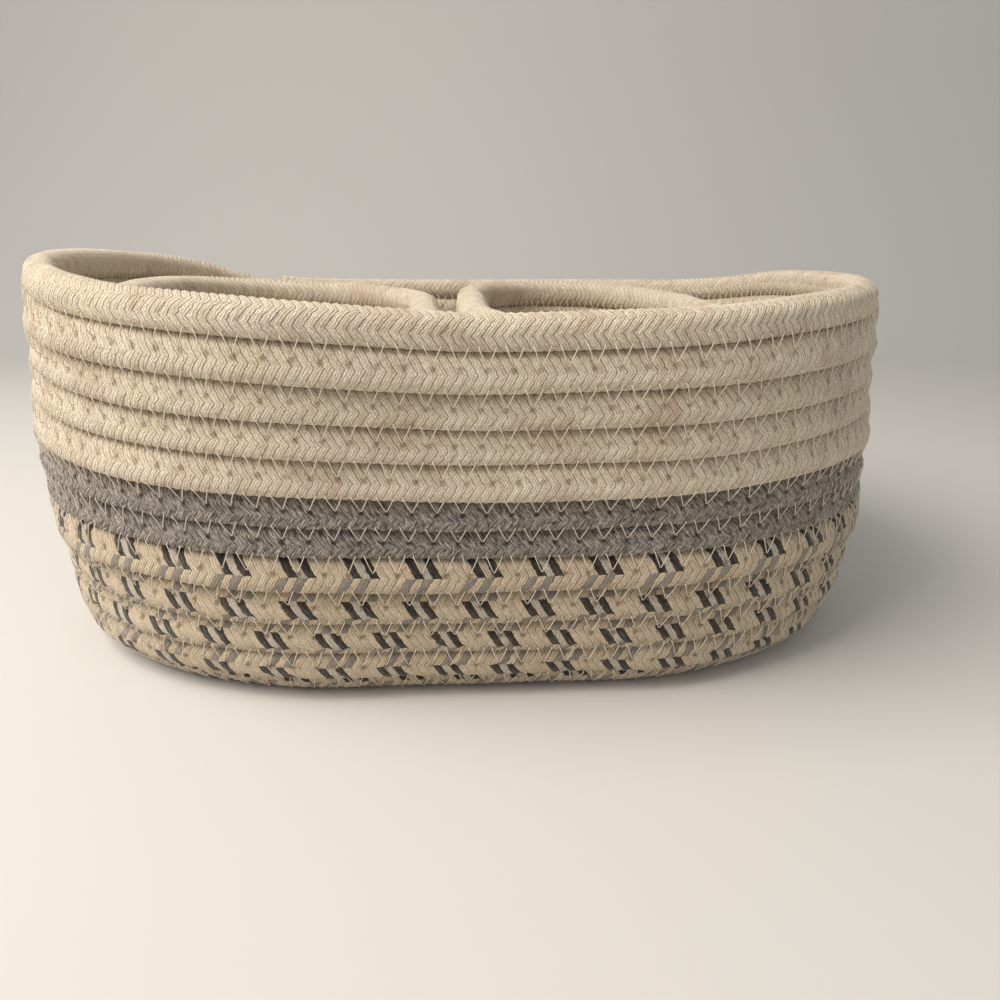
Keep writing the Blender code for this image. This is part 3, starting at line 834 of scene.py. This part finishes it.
small_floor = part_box("large_base")[1].z + SMALL_GAP
for side_name, sign, base_seed, wall_seed in (("left", -1, 5, 15), ("right", 1, 6, 16)):
    low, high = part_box(f"small_{side_name}_rope")
    outer = high.x if sign > 0 else low.x
    half_x = SMALL_HALF_XS[side_name]
    middle = (outer - sign * (half_x + RIM_DEPTH), (low.y + high.y) / 2, 0)
    small = Coil(
        SMALL_ROWS, half_x, SMALL_HALF_Y, (SMALL_CORNER,) * 2, middle, small_floor, SMALL_CLIMB_SHARE,
        SMALL_CLIMB_REACH, (BACK_LEANS,) * 4, [lift / 1000 for lift in SMALL_LIFTS[side_name]],
        heading=SMALL_HEADINGS[side_name]
    )
    body = f"small_{side_name}_basket"
    coil = braid(f"{side_name}_base_coil", small, -small.base_rows, SMALL_BASE_END, base_seed)
    finished(coil, cream, body, "cream_rope", f"small_{side_name}_base")
    wall = braid(f"{side_name}_wall_rope", small, SMALL_WALL_START, small.end, wall_seed)
    finished(wall, cream, body, "cream_rope", f"small_{side_name}_rope")
    for face_name, is_inside in FACES:
        thread_start = -small.base_rows + SMALL_THREAD_START
        stitches = stitching(f"{side_name}_thread_{face_name}", small, thread_start, small.last, is_inside)
        finished(stitches, thread, body, "cream_rope")


# The stage: a plain pale floor of matt paper that sweeps up into a backdrop, a large soft light above and to
# the left, and a dim even light all round.
FLOOR_COLOUR = "D9D7D4"
FLOOR_ROUGHNESS = 0.9
FLOOR_HALF = 3.0
SWEEP_START = 0.7
SWEEP_RADIUS = 0.5
SWEEP_STEPS = 24
KEY_PLACE = (-0.60, -0.30, 0.85)
KEY_TARGET = Vector((0, 0, 0.08))
KEY_SIZE = 0.7
KEY_POWER = 12.0
KEY_COLOUR = "FFF8EE"
WORLD_COLOUR = "F6F5F3"
WORLD_LEVEL = 0.48

turned = np.radians(np.linspace(0, 90, SWEEP_STEPS + 1))
sweep_y = SWEEP_START + SWEEP_RADIUS * np.sin(turned)
sweep_z = SWEEP_RADIUS * (1 - np.cos(turned))
line_y = (-FLOOR_HALF, *sweep_y, SWEEP_START + SWEEP_RADIUS)
line_z = (0, *sweep_z, FLOOR_HALF)
stage = bmesh.new()
line = [stage.verts.new((-FLOOR_HALF, y, z)) for y, z in zip(line_y, line_z)]
edges = [stage.edges.new(pair) for pair in zip(line, line[1:])]
drawn = bmesh.ops.extrude_edge_only(stage, edges=edges)["geom"]
far_side = [part for part in drawn if isinstance(part, bmesh.types.BMVert)]
bmesh.ops.translate(stage, verts=far_side, vec=(2 * FLOOR_HALF, 0, 0))
bmesh.ops.recalc_face_normals(stage, faces=stage.faces)
for face in stage.faces:
    face.smooth = True
floor_mesh = bpy.data.meshes.new("floor")
stage.to_mesh(floor_mesh)
stage.free()
floor = bpy.data.objects.new("floor", floor_mesh)
bpy.context.scene.collection.objects.link(floor)
paper = bpy.data.materials.new("matt_paper_floor")
paper.use_nodes = True
paper.node_tree.nodes["Principled BSDF"].inputs["Base Color"].default_value = linear(FLOOR_COLOUR)
paper.node_tree.nodes["Principled BSDF"].inputs["Roughness"].default_value = FLOOR_ROUGHNESS
floor_mesh.materials.append(paper)

key = bpy.data.objects.new("key_light", bpy.data.lights.new("key_light", "AREA"))
key.data.energy = KEY_POWER
key.data.size = KEY_SIZE
key.data.color = linear(KEY_COLOUR)[:3]
key.location = KEY_PLACE
key.rotation_euler = (KEY_TARGET - key.location).to_track_quat("-Z", "Y").to_euler()
bpy.context.scene.collection.objects.link(key)

world = bpy.context.scene.world or bpy.data.worlds.new("studio")
bpy.context.scene.world = world
world.use_nodes = True
world.node_tree.nodes["Background"].inputs[0].default_value = linear(WORLD_COLOUR)
world.node_tree.nodes["Background"].inputs[1].default_value = WORLD_LEVEL
bpy.context.scene.view_settings.view_transform = "Standard"


# The camera stands in front of the basket and a little to the left of its middle, just above the rim.
# It looks down at the wall, and leans by about one degree, as the photograph does.
FOCAL_PIXELS = 758
PICTURE_PIXELS = 1000
CAMERA_PLACE = Vector((-0.0095, -0.3300, 0.1497))
CAMERA_YAW = math.radians(4.49)
CAMERA_PITCH = math.radians(18.57)
CAMERA_ROLL = math.radians(-0.92)
CLIP_START = 0.01

camera = bpy.data.objects.new("camera", bpy.data.cameras.new("camera"))
bpy.context.scene.collection.objects.link(camera)
bpy.context.scene.camera = camera
camera.data.lens = camera.data.sensor_width * FOCAL_PIXELS / PICTURE_PIXELS
camera.data.clip_start = CLIP_START
aimed = Matrix.Rotation(-CAMERA_YAW, 4, "Z") @ Matrix.Rotation(math.pi / 2 - CAMERA_PITCH, 4, "X")
camera.matrix_world = Matrix.Translation(CAMERA_PLACE) @ aimed @ Matrix.Rotation(-CAMERA_ROLL, 4, "Z")
